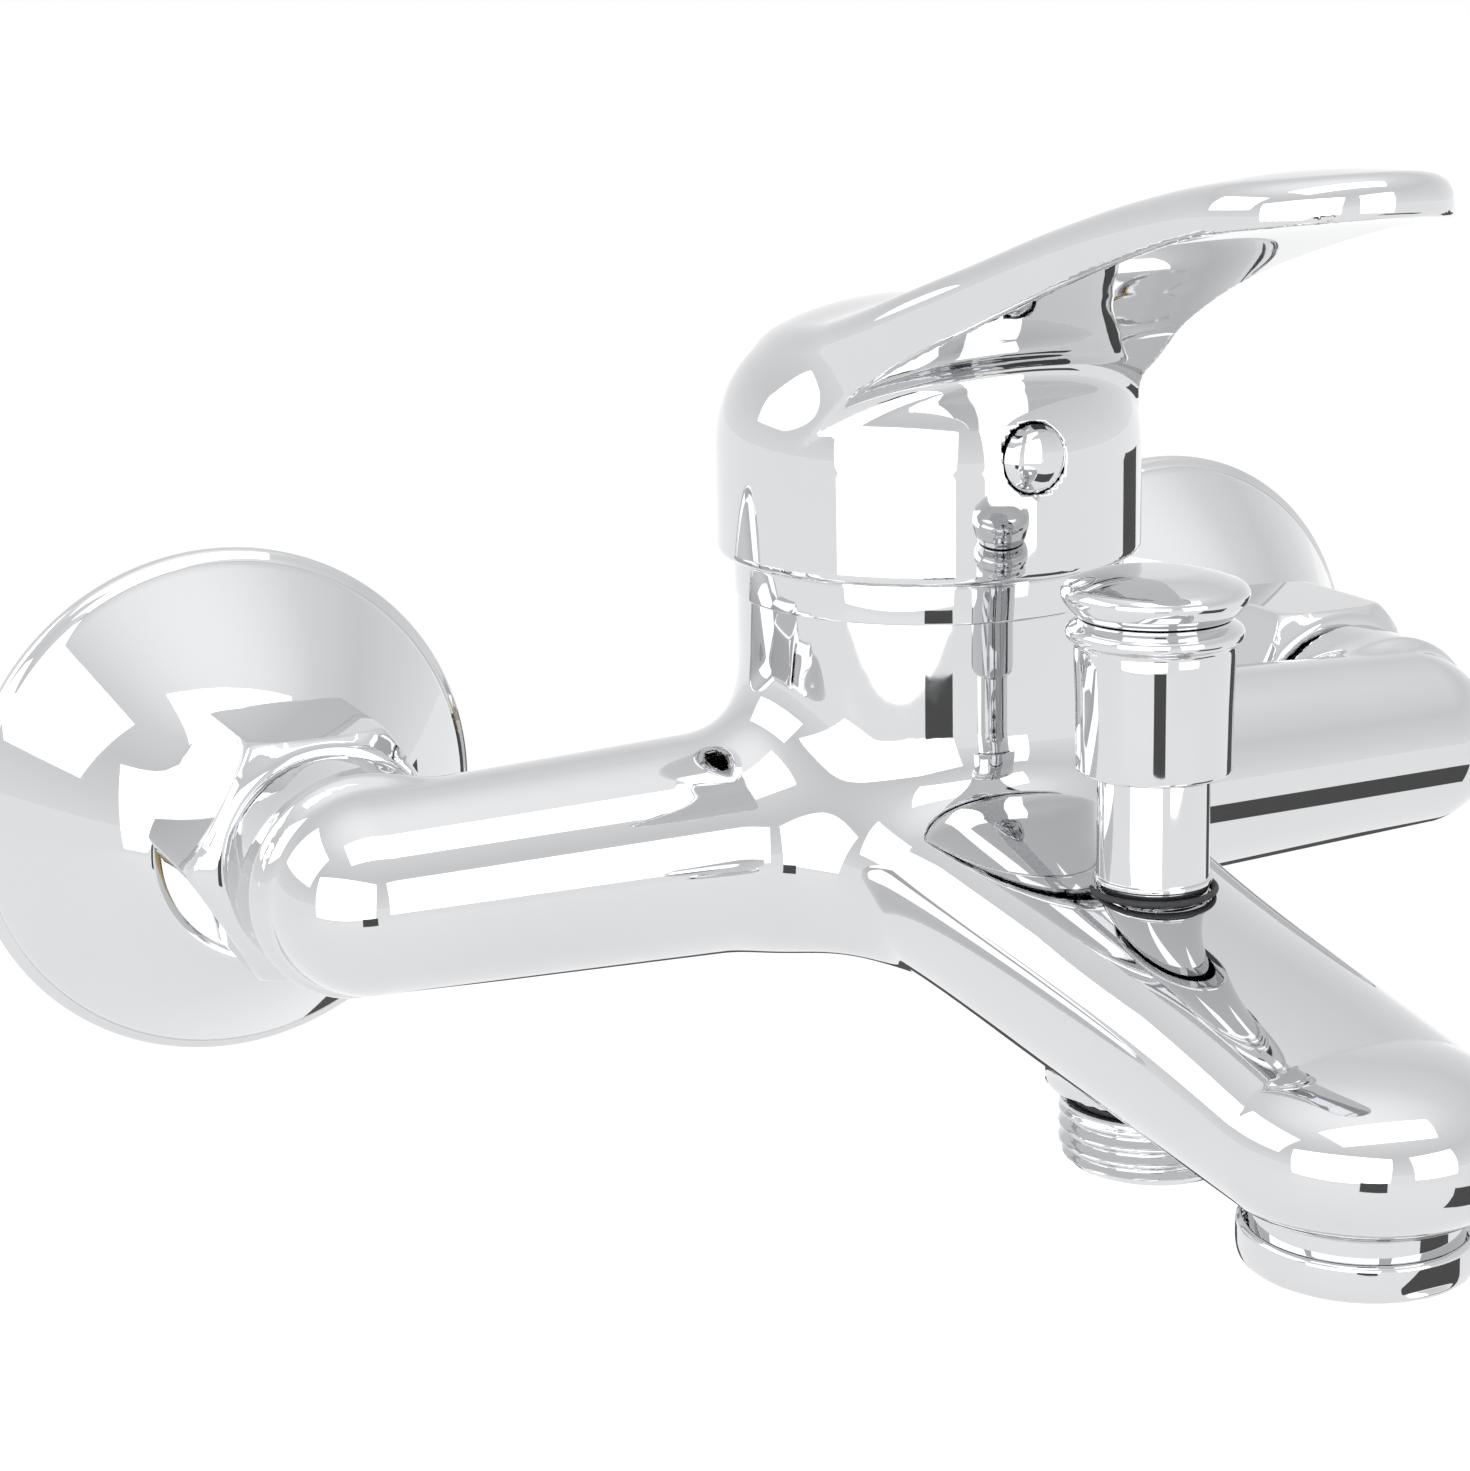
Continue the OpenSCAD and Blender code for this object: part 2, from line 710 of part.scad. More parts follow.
rosette(-1);  // left_rosette
rosette(1);  // right_rosette
eccentric_union(-1);  // left_eccentric_union
eccentric_union(1);  // right_eccentric_union
union_nut(-1);  // left_union_nut
union_nut(1);  // right_union_nut
union_washer(-1);  // left_union_washer
union_washer(1);  // right_union_washer
inlet_filter(-1);  // left_inlet_filter
inlet_filter(1);  // right_inlet_filter
inlet_tail(-1);  // left_inlet_tail
inlet_tail(1);  // right_inlet_tail
mixer_body();
base_seals();
cartridge_base();
cartridge_housing();
cartridge_o_ring();
fixed_ceramic_disc();
moving_ceramic_disc();
disc_carrier();
spindle_carrier();
pivot_pin();
lever_spindle();
retaining_nut();
trim_ring();
lever_handle();
grub_screw();
index_button();
diverter_bonnet();
bonnet_o_ring();
rod_o_ring();
diverter_rod();
diverter_spring();
valve_disc();
valve_seals();
knob_sleeve();
knob_cap();
shower_nipple();
outlet_o_ring();
aerator_housing();
aerator_washer();
aerator_insert();
aerator_screens();
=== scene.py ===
import json
import math

import bmesh
import bpy
import numpy as np
from mathutils import Matrix, Vector


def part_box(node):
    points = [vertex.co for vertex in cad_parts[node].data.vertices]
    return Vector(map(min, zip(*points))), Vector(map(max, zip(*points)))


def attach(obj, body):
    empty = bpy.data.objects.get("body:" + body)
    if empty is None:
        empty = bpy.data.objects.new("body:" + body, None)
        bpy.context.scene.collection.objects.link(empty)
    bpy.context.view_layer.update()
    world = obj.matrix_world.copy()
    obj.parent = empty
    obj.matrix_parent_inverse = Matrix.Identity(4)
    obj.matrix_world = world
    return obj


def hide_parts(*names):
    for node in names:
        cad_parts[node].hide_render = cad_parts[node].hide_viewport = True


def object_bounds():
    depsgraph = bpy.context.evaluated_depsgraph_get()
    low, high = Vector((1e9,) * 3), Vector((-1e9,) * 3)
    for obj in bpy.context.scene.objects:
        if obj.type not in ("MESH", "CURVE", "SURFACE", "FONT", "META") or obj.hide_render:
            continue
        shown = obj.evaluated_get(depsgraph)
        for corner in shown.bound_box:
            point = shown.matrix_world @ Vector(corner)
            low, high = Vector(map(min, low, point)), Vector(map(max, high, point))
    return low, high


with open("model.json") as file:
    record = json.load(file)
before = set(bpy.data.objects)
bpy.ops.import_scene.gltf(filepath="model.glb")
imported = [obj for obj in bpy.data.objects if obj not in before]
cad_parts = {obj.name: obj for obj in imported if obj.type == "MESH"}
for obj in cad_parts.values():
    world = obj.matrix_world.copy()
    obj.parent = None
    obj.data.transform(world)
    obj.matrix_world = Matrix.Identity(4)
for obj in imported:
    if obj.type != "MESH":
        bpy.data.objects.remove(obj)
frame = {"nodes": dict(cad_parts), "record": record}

cad_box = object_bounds()
nodes = frame["nodes"]
MM = 0.001


# ---------------------------------------------------------------- places from the frame

def centre(node):
    low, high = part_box(node)
    return (low + high) / 2


def size(node):
    low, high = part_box(node)
    return high - low


tower_axis = centre("trim_ring")
arm_z = centre("left_inlet_tail").z
body = Vector((0.0, tower_axis.y, arm_z))          # where the arms, tower and spout meet
arm_x = centre("right_inlet_tail").x / MM
diverter_y = (centre("diverter_bonnet").y - body.y) / MM
aerator_y = (centre("aerator_housing").y - body.y) / MM
tower_r = size("trim_ring").x / 2 / MM
tower_top = (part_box("trim_ring")[0].z - body.z) / MM
ring_top = (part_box("trim_ring")[1].z - body.z) / MM
cap_r = size("lever_handle").x / 2 / MM
cap_bottom = (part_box("lever_handle")[0].z - body.z) / MM
lever_top = (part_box("lever_handle")[1].z - body.z) / MM
lever_tip = (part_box("lever_handle")[0].y - body.y) / MM
spout_tip_bottom = (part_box("aerator_housing")[1].z - body.z) / MM
button_z = (centre("grub_screw").z - body.z) / MM


# ---------------------------------------------------------------- smooth solids from distance fields
# Every field takes arrays of x, y, z in millimetres from the point where arms and tower meet.

def smooth_min(a, b, k):
    h = np.clip(0.5 + 0.5 * (b - a) / k, 0, 1)
    return b + (a - b) * h - k * h * (1 - h)


def smooth_max(a, b, k):
    return -smooth_min(-a, -b, k)


def round_cone(x, y, z, start, end, r_start, r_end):
    """A straight taper with round ends."""
    start, end = np.array(start, float), np.array(end, float)
    d = end - start
    t = ((x - start[0]) * d[0] + (y - start[1]) * d[1] + (z - start[2]) * d[2]) / (d @ d)
    t = np.clip(t, 0, 1)
    gap = np.sqrt((x - start[0] - t * d[0]) ** 2 + (y - start[1] - t * d[1]) ** 2
                  + (z - start[2] - t * d[2]) ** 2)
    return gap - (r_start + t * (r_end - r_start))


def drum(radial, along, r, low, high, edge=0.3):
    """A cylinder from its radial distance and its place along the axis, with rounded rims."""
    side = radial - r + edge
    ends = np.maximum(low - along, along - high) + edge
    outside = np.sqrt(np.maximum(side, 0) ** 2 + np.maximum(ends, 0) ** 2)
    return outside + np.minimum(np.maximum(side, ends), 0) - edge


def ramp(v, points):
    """A smooth curve through a few given points, each (place, value)."""
    px, py = np.array(sorted(points), float).T
    slopes = np.gradient(py, px)
    v = np.clip(v, px[0], px[-1])
    i = np.clip(np.searchsorted(px, v) - 1, 0, len(px) - 2)
    h = px[i + 1] - px[i]
    t = (v - px[i]) / h
    return ((2 * t ** 3 - 3 * t ** 2 + 1) * py[i] + (t ** 3 - 2 * t ** 2 + t) * h * slopes[i]
            + (-2 * t ** 3 + 3 * t ** 2) * py[i + 1] + (t ** 3 - t ** 2) * h * slopes[i + 1])


def surface_net(field, low, high, step, relax=5):
    """Turns a field into a closed quad mesh whose points lie on the field's zero."""
    axes = [np.arange(a - 2 * step, b + 2.5 * step, step) for a, b in zip(low, high)]
    gx, gy, gz = np.meshgrid(*axes, indexing="ij")
    f = field(gx, gy, gz)
    inside = f < 0
    corners = [(i, j, k) for i in (0, 1) for j in (0, 1) for k in (0, 1)]
    n = np.array(f.shape) - 1
    def part(a, c):
        return a[c[0]:c[0] + n[0], c[1]:c[1] + n[1], c[2]:c[2] + n[2]]
    count = sum(part(inside, c).astype(int) for c in corners)
    mixed = (count > 0) & (count < 8)
    total = np.zeros(tuple(n) + (3,))
    hits = np.zeros(tuple(n))
    for a in corners:
        for d in range(3):
            if a[d] == 1:
                continue
            b = list(a)
            b[d] = 1
            fa, fb = part(f, a), part(f, tuple(b))
            cross = mixed & ((fa < 0) != (fb < 0))
            t = np.where(cross, fa / np.where(cross, fa - fb, 1), 0)
            for e in range(3):
                total[..., e] += np.where(cross, a[e] + (t if e == d else 0), 0)
            hits += cross
    cells = np.argwhere(mixed)
    index = -np.ones(mixed.shape, int)
    index[mixed] = np.arange(len(cells))
    origin = np.array([a[0] for a in axes])
    verts = origin + step * (cells + total[mixed] / hits[mixed][:, None])
    quads = []
    for d in range(3):
        u, v = (d + 1) % 3, (d + 2) % 3
        lo = [slice(None)] * 3
        hi = [slice(None)] * 3
        lo[d], hi[d] = slice(0, -1), slice(1, None)
        for e in (u, v):
            lo[e] = hi[e] = slice(1, -1)
        fa, fb = inside[tuple(lo)], inside[tuple(hi)]
        at = np.argwhere(fa != fb)
        flip = fa[fa != fb]
        at[:, u] += 1
        at[:, v] += 1
        ring = []
        for du, dv in ((-1, -1), (0, -1), (0, 0), (-1, 0)):
            c = at.copy()
            c[:, u] += du
            c[:, v] += dv
            ring.append(index[c[:, 0], c[:, 1], c[:, 2]])
        ring = np.array(ring).T
        ring[~flip] = ring[~flip][:, ::-1]
        quads.append(ring)
    quads = np.concatenate(quads)
    edges = np.concatenate([quads[:, [i, (i + 1) % 4]] for i in range(4)])
    for turn in range(relax):
        away = np.zeros_like(verts)
        weight = np.zeros(len(verts))
        for s, t in ((0, 1), (1, 0)):
            np.add.at(away, edges[:, s], verts[edges[:, t]])
            np.add.at(weight, edges[:, s], 1)
        verts += 0.5 * (away / weight[:, None] - verts)
        for again in range(2):
            verts = onto(field, verts, step)
    return verts, quads


def gradient(field, p, e=0.02):
    g = np.empty_like(p)
    for d in range(3):
        q = p.copy()
        q[:, d] += e
        a = field(q[:, 0], q[:, 1], q[:, 2])
        q[:, d] -= 2 * e
        g[:, d] = (a - field(q[:, 0], q[:, 1], q[:, 2])) / (2 * e)
    return g


def onto(field, p, step):
    g = gradient(field, p)
    f = field(p[:, 0], p[:, 1], p[:, 2])
    move = g * (f / np.maximum((g ** 2).sum(1), 1e-6))[:, None]
    length = np.linalg.norm(move, axis=1)
    limit = 0.5 * step
    move *= np.minimum(1, limit / np.maximum(length, 1e-9))[:, None]
    return p - move


def solid_from_field(name, field, low, high, step):
    verts, quads = surface_net(field, low, high, step)
    mesh = bpy.data.meshes.new(name)
    mesh.from_pydata([tuple(v) for v in verts * MM + np.array(body)], [], quads.tolist())
    mesh.shade_smooth()
    mesh.update()
    normals = gradient(field, verts, 0.05)
    normals /= np.linalg.norm(normals, axis=1)[:, None]
    mesh.normals_split_custom_set_from_vertices([tuple(n) for n in normals])
    obj = bpy.data.objects.new(name, mesh)
    bpy.context.scene.collection.objects.link(obj)
    return obj


# ---------------------------------------------------------------- turned pieces

def new_object(name, verts, faces):
    mesh = bpy.data.meshes.new(name)
    mesh.from_pydata([tuple(v) for v in verts], [], faces)
    mesh.shade_smooth()
    mesh.update()
    obj = bpy.data.objects.new(name, mesh)
    bpy.context.scene.collection.objects.link(obj)
    return obj


def rounded(points, steps=5):
    """An outline from (radius, height, rounding) corners, with each corner turned into an arc."""
    out = []
    for i, (r, h, fillet) in enumerate(points):
        here = np.array((r, h), float)
        if fillet <= 0 or i in (0, len(points) - 1):
            out.append(here)
            continue
        before = np.array(points[i - 1][:2], float) - here
        after = np.array(points[i + 1][:2], float) - here
        reach = min(fillet, 0.49 * np.linalg.norm(before), 0.49 * np.linalg.norm(after))
        start = here + before / np.linalg.norm(before) * reach
        end = here + after / np.linalg.norm(after) * reach
        for t in np.linspace(0, 1, steps + 1):
            out.append((1 - t) ** 2 * start + 2 * t * (1 - t) * here + t ** 2 * end)
    return np.array(out)


def ring_faces(n, around):
    """The faces of n closed rings of points, joined in order and back to the first."""
    return [(i * around + j, i * around + (j + 1) % around,
             (i + 1) % n * around + (j + 1) % around, (i + 1) % n * around + j)
            for i in range(n) for j in range(around)]


def lathe(name, profile, foot, turn=None, around=128):
    """Turns a closed outline of (radius, height) in millimetres about +Z at foot, or a turned axis."""
    angles = np.linspace(0, 2 * math.pi, around, endpoint=False)
    ring = np.array([(r * np.cos(angles), r * np.sin(angles), np.full(around, h)) for r, h in profile])
    verts = ring.transpose(0, 2, 1).reshape(-1, 3) * MM
    if turn is not None:
        verts = verts @ np.array(turn).T
    verts = verts + np.array(foot)
    obj = new_object(name, verts, ring_faces(len(profile), around))
    crisp_edges(obj)
    return obj


def crisp_edges(obj, angle=32):
    bm = bmesh.new()
    bm.from_mesh(obj.data)
    bmesh.ops.remove_doubles(bm, verts=bm.verts, dist=1e-7)
    bmesh.ops.dissolve_degenerate(bm, dist=1e-7, edges=bm.edges)
    bmesh.ops.recalc_face_normals(bm, faces=bm.faces)
    for edge in bm.edges:
        if len(edge.link_faces) == 2 and edge.calc_face_angle(0) > math.radians(angle):
            edge.smooth = False
    bm.to_mesh(obj.data)
    bm.free()


def threaded_tube(name, foot, r_out, r_in, low, high, pitch, depth, turn=None, around=96):
    """A tube standing on its axis with a real helical thread outside, run out at both ends."""
    rows = int((high - low) / pitch * (18))
    angles = np.linspace(0, 2 * math.pi, around, endpoint=False)
    heights = np.linspace(low, high, rows + 1)
    z, a = np.meshgrid(heights, angles, indexing="ij")
    wave = np.abs(((z / pitch - a / (2 * math.pi)) % 1) * 2 - 1)
    groove = np.clip(wave * 1.35 - 0.15, 0, 1)
    lead_in = np.clip((z - low) / (0.6 * pitch), 0, 1)
    chamfer = (1 - lead_in) * depth
    run_out = np.clip((high - z) / (1.0 * pitch), 0, 1)
    r = np.minimum(r_out - depth * groove * np.minimum(1, run_out + 0.15), r_out - chamfer)
    rings = [np.stack([r[i] * np.cos(angles), r[i] * np.sin(angles), z[i]], 1) for i in range(rows + 1)]
    bevel = 0.3
    mouth_r = r_in + bevel
    for rim_r, rim_z in ((mouth_r, high), (r_in, high - bevel), (r_in, low + bevel), (mouth_r, low)):
        rim = [rim_r * np.cos(angles), rim_r * np.sin(angles), np.full(around, rim_z)]
        rings.append(np.stack(rim, 1))
    verts = np.concatenate(rings) * MM
    if turn is not None:
        verts = verts @ np.array(turn).T
    verts = verts + np.array(foot)
    obj = new_object(name, verts, ring_faces(len(rings), around))
    crisp_edges(obj, 50)
    return obj


# ---------------------------------------------------------------- mixer body casting

# Each curve is (y, value) in millimetres, along the spout from the tower's axis
SPOUT_HALF_WIDTH = ((0, 22.5), (-25, 20), (-52, 17.6), (-78, 16.6), (-91, 16.5))
SPOUT_TOP = ((0, 13), (-28, 8.5), (-52, 4.4), (-76, 0.6), (-91, -2.2))
SPOUT_BOTTOM = ((0, -14.4), (-28, -15.6), (-52, -18.2), (-76, -19.8), (-91, -20.4))
ARM_ROOT_R, ARM_END_R = 14.4, 12.1
COLLAR_R = 13.5
# Bores as (radius, low, high): the cartridge chamber, then the diverter's well from post to nipple
CHAMBER_BORES = ((20.1, 9, 25), (21.6, 25, 40))
DIVERTER_BORES = ((6.1, 0.3, 12), (5.9, -3, 2), (8.1, -10, -1.2), (8.6, -30, -9.9))


def casting(x, y, z):
    arms = round_cone(np.abs(x), y, z, (14, 0, 0), (arm_x, 0, 0), ARM_ROOT_R, ARM_END_R)
    collars = drum(np.hypot(np.abs(x) - arm_x, z), y, COLLAR_R, 2, COLLAR_R, 0.8)
    arms = smooth_min(arms, collars, 3)
    radial = np.hypot(x, y)
    tower = drum(radial, z, tower_r, -9, tower_top, 0.4)
    half_w = ramp(y, SPOUT_HALF_WIDTH)
    top, bottom = ramp(y, SPOUT_TOP), ramp(y, SPOUT_BOTTOM)
    mid, half_h = (top + bottom) / 2, (top - bottom) / 2
    past = np.maximum(aerator_y - y, 0) + np.maximum(y - 2, 0)
    side = (np.abs(x) / half_w) ** 2 + (past / half_w) ** 2
    over = (np.abs(z - mid) / half_h) ** 2.5
    spout = ((side ** 1.15 + over) ** (1 / 2.4) - 1) * half_h
    joined = smooth_min(tower, arms, 9)
    joined = smooth_min(joined, spout, 7)
    aerator_boss = drum(np.hypot(x, y - aerator_y), z, 13.2, spout_tip_bottom, -12, 0.5)
    outlet_boss = drum(np.hypot(x, y - diverter_y), z, 12.1, -18.7, -10, 0.5)
    joined = smooth_min(joined, aerator_boss, 1.5)
    joined = smooth_min(joined, outlet_boss, 1.2)
    joined = smooth_max(joined, z - tower_top, 0.3)
    for r, low, high in CHAMBER_BORES:
        joined = np.maximum(joined, -drum(radial, z, r, low, high, 0.1))
    for r, low, high in DIVERTER_BORES:
        joined = np.maximum(joined, -drum(np.hypot(x, y - diverter_y), z, r, low, high, 0.1))
    joined = np.maximum(joined, -drum(np.hypot(x, y - aerator_y), z, 11.1, -30, -12.9, 0.1))
    sockets = drum(np.hypot(np.abs(x) - arm_x, z), y, 10.5, 4.4, 20, 0.1)
    return np.maximum(joined, -sockets)


# ---------------------------------------------------------------- lever casting

# Each curve is (y, value) along the paddle; the keel is how the underside curves across it
PADDLE_HALF_WIDTH = ((12, 16), (0, 20), (-20, 20), (-36, 15.6), (-50, 13.4), (-66, 13.0), (-81, 13.6))
PADDLE_TOP = ((12, 62), (0, 65), (-15, 68.6), (-33, 74), (-49, 79), (-65, 83), (-80, 85.6), (-97, 86.0))
PADDLE_BOTTOM = ((12, 52), (0, 54), (-20, 58.5), (-33, 63.5), (-49, 70), (-65, 75.6), (-80, 79.6),
                 (-97, 81.6))
PADDLE_KEEL = ((12, -0.006), (-12, -0.006), (-33, 0.002), (-49, 0.003), (-65, 0), (-97, -0.004))


def lever(x, y, z):
    radial = np.hypot(x, y)
    shoulder, dome_h, power = 47.0, 19.2, 2.3
    over = np.maximum(z - shoulder, 0) / dome_h
    dome = ((np.maximum(radial, 0.01) / cap_r) ** power + over ** power) ** (1 / power) - 1
    dome = dome * cap_r * 0.8
    skirt = np.maximum(radial - cap_r, cap_bottom - z)
    cap = smooth_max(dome, cap_bottom - z, 1.0)
    cap = np.maximum(cap, skirt)
    half_w = ramp(y, PADDLE_HALF_WIDTH)
    reach = lever_tip + 13.6
    past = np.maximum(reach - y, 0) + np.maximum(y - 8, 0) * 0.8
    plan = np.hypot(x, past) - half_w
    top = ramp(y, PADDLE_TOP) - 0.0075 * x ** 2
    bottom = ramp(y, PADDLE_BOTTOM) + 0.4 + ramp(y, PADDLE_KEEL) * x ** 2
    paddle = smooth_max(plan, z - top, 3.0)
    paddle = smooth_max(paddle, bottom - z, 0.7)
    joined = smooth_min(cap, paddle, 3.5)
    joined = np.maximum(joined, z - (lever_top - 0.02))
    room = np.minimum(drum(radial, z, cap_r - 1.6, 20, 45, 0.3), drum(radial, z, 19, 40, 55, 2))
    boss = drum(radial, z, 9, 40, 60, 0.3)
    room = np.maximum(room, -boss)
    joined = np.maximum(joined, -room)
    bore = drum(np.hypot(x, z - button_z), -y, 4.2, 18, 40, 0.05)
    key = drum(np.hypot(x, z - button_z), -y, 2.6, 0, 30, 0.05)
    stem = np.maximum(np.maximum(np.abs(x), np.abs(y)) - 4.05, np.maximum(z - 54.2, 30 - z))
    for hole in (bore, key, stem):
        joined = np.maximum(joined, -hole)
    return joined


# ---------------------------------------------------------------- materials

def material(name):
    mat = bpy.data.materials.new(name)
    mat.use_nodes = True
    tree = mat.node_tree
    shader = tree.nodes["Principled BSDF"]
    return mat, tree, shader


def noise(tree, scale, detail):
    coord = tree.nodes.new("ShaderNodeTexCoord")
    tex = tree.nodes.new("ShaderNodeTexNoise")
    tex.inputs["Scale"].default_value = scale
    tex.inputs["Detail"].default_value = detail
    tree.links.new(coord.outputs["Object"], tex.inputs["Vector"])
    return tex.outputs["Fac"]


def spread(tree, fac, low, high):
    """Spreads the middle of a noise over a range."""
    node = tree.nodes.new("ShaderNodeMapRange")
    node.inputs["From Min"].default_value = 0.3
    node.inputs["From Max"].default_value = 0.7
    node.inputs["To Min"].default_value = low
    node.inputs["To Max"].default_value = high
    tree.links.new(fac, node.inputs["Value"])
    return node.outputs["Result"]


def tint(tree, fac, dark, light):
    node = tree.nodes.new("ShaderNodeMix")
    node.data_type = "RGBA"
    node.inputs["A"].default_value = (*dark, 1)
    node.inputs["B"].default_value = (*light, 1)
    tree.links.new(fac, node.inputs["Factor"])
    return node.outputs["Result"]


def bump(tree, shader, height, strength, distance):
    node = tree.nodes.new("ShaderNodeBump")
    node.inputs["Strength"].default_value = strength
    node.inputs["Distance"].default_value = distance
    tree.links.new(height, node.inputs["Height"])
    tree.links.new(node.outputs["Normal"], shader.inputs["Normal"])


def metal(name, dark, light, rough, wave=0.0):
    """A metal with slight changes of shade and polish, and with fine tool marks where wave is set."""
    mat, tree, shader = material(name)
    shader.inputs["Metallic"].default_value = 1.0
    broad = noise(tree, 35, 3)
    fine = noise(tree, 400, 5)
    tree.links.new(tint(tree, broad, dark, light), shader.inputs["Base Color"])
    tree.links.new(spread(tree, fine, rough[0], rough[1]), shader.inputs["Roughness"])
    if wave:
        bump(tree, shader, fine, wave, 0.0002)
    return mat


def soft(name, dark, light, rough, wave, grain=900.0):
    """Rubber, ceramic or moulded plastic, with a fine surface grain."""
    mat, tree, shader = material(name)
    fine = noise(tree, grain, 4)
    broad = noise(tree, 60, 3)
    tree.links.new(tint(tree, broad, dark, light), shader.inputs["Base Color"])
    tree.links.new(spread(tree, fine, rough[0], rough[1]), shader.inputs["Roughness"])
    bump(tree, shader, fine, wave, 0.0002)
    return mat


looks = {
    "chrome": metal("chrome_plate", (0.62, 0.626, 0.636), (0.67, 0.675, 0.682), (0.012, 0.04)),
    "brass": metal("machined_brass", (0.66, 0.47, 0.22), (0.80, 0.62, 0.33), (0.18, 0.34), 0.15),
    "steel": metal("stainless_steel", (0.50, 0.51, 0.52), (0.66, 0.67, 0.69), (0.2, 0.38), 0.12),
    "rubber": soft("moulded_rubber", (0.015, 0.015, 0.017), (0.035, 0.035, 0.038), (0.5, 0.75), 0.25),
    "ceramic": soft("lapped_ceramic", (0.80, 0.79, 0.76), (0.90, 0.89, 0.87), (0.12, 0.25), 0.05),
    "acetal": soft("moulded_acetal", (0.70, 0.70, 0.66), (0.80, 0.80, 0.77), (0.35, 0.5), 0.1),
}
for part in frame["record"]["subparts"]:
    mesh = nodes[part["node"]].data
    mesh.materials.clear()
    mesh.materials.append(looks[part["material_slot"]])


def dress(obj, slot, body_name, *replaced):
    obj.data.materials.append(looks[slot])
    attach(obj, body_name)
    if replaced:
        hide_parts(*replaced)
    return obj


# ---------------------------------------------------------------- build

SPOUT_RIM_Z = -20.6
POST_R = 6.3
PIPE_R, PIPE_PITCH, PIPE_DEPTH = 10.48, 1.814, 1.1     # the G1/2 thread
out_of_wall = Matrix.Rotation(math.radians(90), 3, "X")


def heights_of(node):
    low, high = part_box(node)
    return (low.z - body.z) / MM, (high.z - body.z) / MM


def on_spout(y):
    """The foot of a piece that stands on the spout's middle line."""
    return Vector((0, body.y + y * MM, body.z))


def castings():
    step = 0.8
    low = (-arm_x - 14, aerator_y - 18, -22)
    high = (arm_x + 14, 26, tower_top + 1)
    mixer = solid_from_field("mixer_casting", casting, low, high, step)
    dress(mixer, "chrome", "mixer", "mixer_body")
    low = (-28, lever_tip - 2, cap_bottom - 1)
    high = (28, 28, lever_top + 1)
    handle = solid_from_field("lever_casting", lever, low, high, step * 0.8)
    dress(handle, "chrome", "lever", "lever_handle")


def knob():
    """The pull knob: a mushroom head over a ring, on a plain sleeve."""
    foot = on_spout(diverter_y)
    bottom, _ = heights_of("knob_sleeve")
    _, top = heights_of("knob_cap")
    head_r = size("knob_cap").x / 2 / MM
    ring_r = head_r - 0.6
    sleeve_r = 8.8
    rod_r = 2.1
    neck_z = top - 5.4
    ring_z = top - 7.1
    sleeve = rounded([
        (6.9, bottom, 0), (sleeve_r - 0.1, bottom, 0.5), (sleeve_r, bottom + 8, 0),
        (sleeve_r + 0.2, ring_z - 2.6, 1.2), (ring_r - 1.0, ring_z - 1.2, 0.6),
        (ring_r, ring_z - 0.7, 0.5), (ring_r, ring_z + 0.4, 0.6), (head_r - 1.8, ring_z + 1.2, 0.4),
        (head_r - 2.0, neck_z - 0.2, 0.1), (rod_r, neck_z - 0.2, 0), (rod_r, bottom + 12.8, 0),
        (6.9, bottom + 12.6, 0)])
    dress(lathe("knob_sleeve_turned", sleeve, foot), "chrome", "diverter", "knob_sleeve")
    head = rounded([
        (rod_r, neck_z, 0), (head_r - 1.8, neck_z, 0.2), (head_r - 0.9, neck_z + 0.8, 0.6),
        (head_r - 0.1, neck_z + 2.0, 0.6), (head_r, neck_z + 2.8, 0.5),
        (head_r - 0.6, neck_z + 3.6, 0.6), (head_r - 3.2, top - 0.9, 2.0), (5.0, top - 0.45, 2.0),
        (0.01, top - 0.4, 0), (0.01, top - 4, 0), (rod_r, top - 4, 0)])
    dress(lathe("knob_head_turned", head, foot), "chrome", "diverter", "knob_cap")


def outlet_thread():
    foot = on_spout(diverter_y)
    low, high = heights_of("shower_nipple")
    thread_top = heights_of("outlet_o_ring")[0]
    bore, shank_r, shank_z = 5.5, 8.5, thread_top - 0.4
    tube = threaded_tube("shower_thread", foot, PIPE_R, bore, low, thread_top, PIPE_PITCH, PIPE_DEPTH)
    dress(tube, "chrome", "mixer")
    shank = rounded([(bore, shank_z, 0), (shank_r, shank_z, 0), (shank_r, high, 0.3), (bore, high, 0)])
    dress(lathe("shower_shank", shank, foot), "chrome", "mixer")
    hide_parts("shower_nipple")


def aerator_shell():
    """The aerator's plated ring with a key flat on each side and a rolled lip."""
    foot = on_spout(aerator_y)
    low, high = heights_of("aerator_housing")
    rim = size("aerator_housing").x / 2 / MM
    shoulder = SPOUT_RIM_Z
    outline = rounded([
        (9.6, low + 0.5, 0.3), (10.4, low, 0.5), (rim - 0.3, low, 0.9), (rim, low + 1.4, 0.5),
        (rim, shoulder - 0.4, 0.3), (rim - 0.5, shoulder, 0.2), (11.0, shoulder, 0), (11.0, high, 0.3),
        (9.6, high, 0), (9.6, low + 1.0, 0.3)])
    obj = lathe("aerator_ring", outline, foot, around=192)
    flat_at = (rim - 0.55) * MM
    for v in obj.data.vertices:
        y = v.co.y - foot.y
        z = (v.co.z - foot.z) / MM
        if abs(y) > flat_at and low + 0.9 < z < shoulder - 0.8:
            v.co.y = foot.y + math.copysign(flat_at, y)
    dress(obj, "chrome", "mixer", "aerator_housing")


